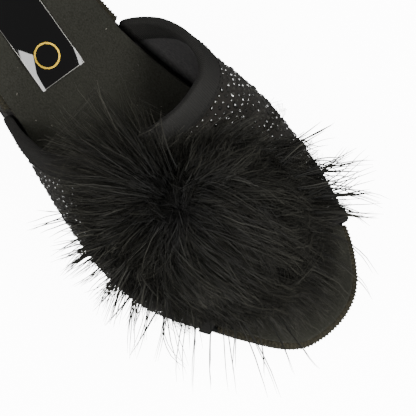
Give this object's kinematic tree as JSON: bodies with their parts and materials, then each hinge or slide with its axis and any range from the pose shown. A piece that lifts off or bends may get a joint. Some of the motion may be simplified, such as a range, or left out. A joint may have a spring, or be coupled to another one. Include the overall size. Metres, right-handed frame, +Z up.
{
  "type": "open-toe mule slipper",
  "caption": "Open-toe mule slipper for the right foot: a stone-set vamp band with ribbon bindings over a low covered wedge, and a large feather pompom on the vamp.",
  "frame": {"origin": "middle of the bounding box, on the floor under the shoe", "axes": "+X from the heel to the toe, +Y to the medial side (the wearer's left), +Z up from the floor"},
  "size_m": [0.24, 0.0954, 0.0831],
  "materials": {
    "outsole_rubber": "matt black rubber sheet",
    "wedge_cover": "fine-grained black wrap",
    "rim_cover": "ribbed black cloth with an olive tint",
    "sock_suede": "black microsuede with a little lint",
    "label_foil": "mirror-gloss black foil",
    "band_cloth": "brownish black cloth",
    "band_lining": "smooth bluish black lining",
    "grosgrain": "ribbed black ribbon with a low sheen",
    "stone": "polished hematite grey",
    "gold_foil": "fine gold foil line",
    "marabou": "soft black down"
  },
  "bodies": {
    "root": {"outsole": "outsole_rubber", "wedge": "wedge_cover", "insole_board": "rim_cover", "insole_sock": "sock_suede", "sock_label": "label_foil", "upper": "band_cloth", "topline_ribbon": "grosgrain", "front_ribbon": "grosgrain", "pompom": "marabou"}
  },
  "joints": []
}
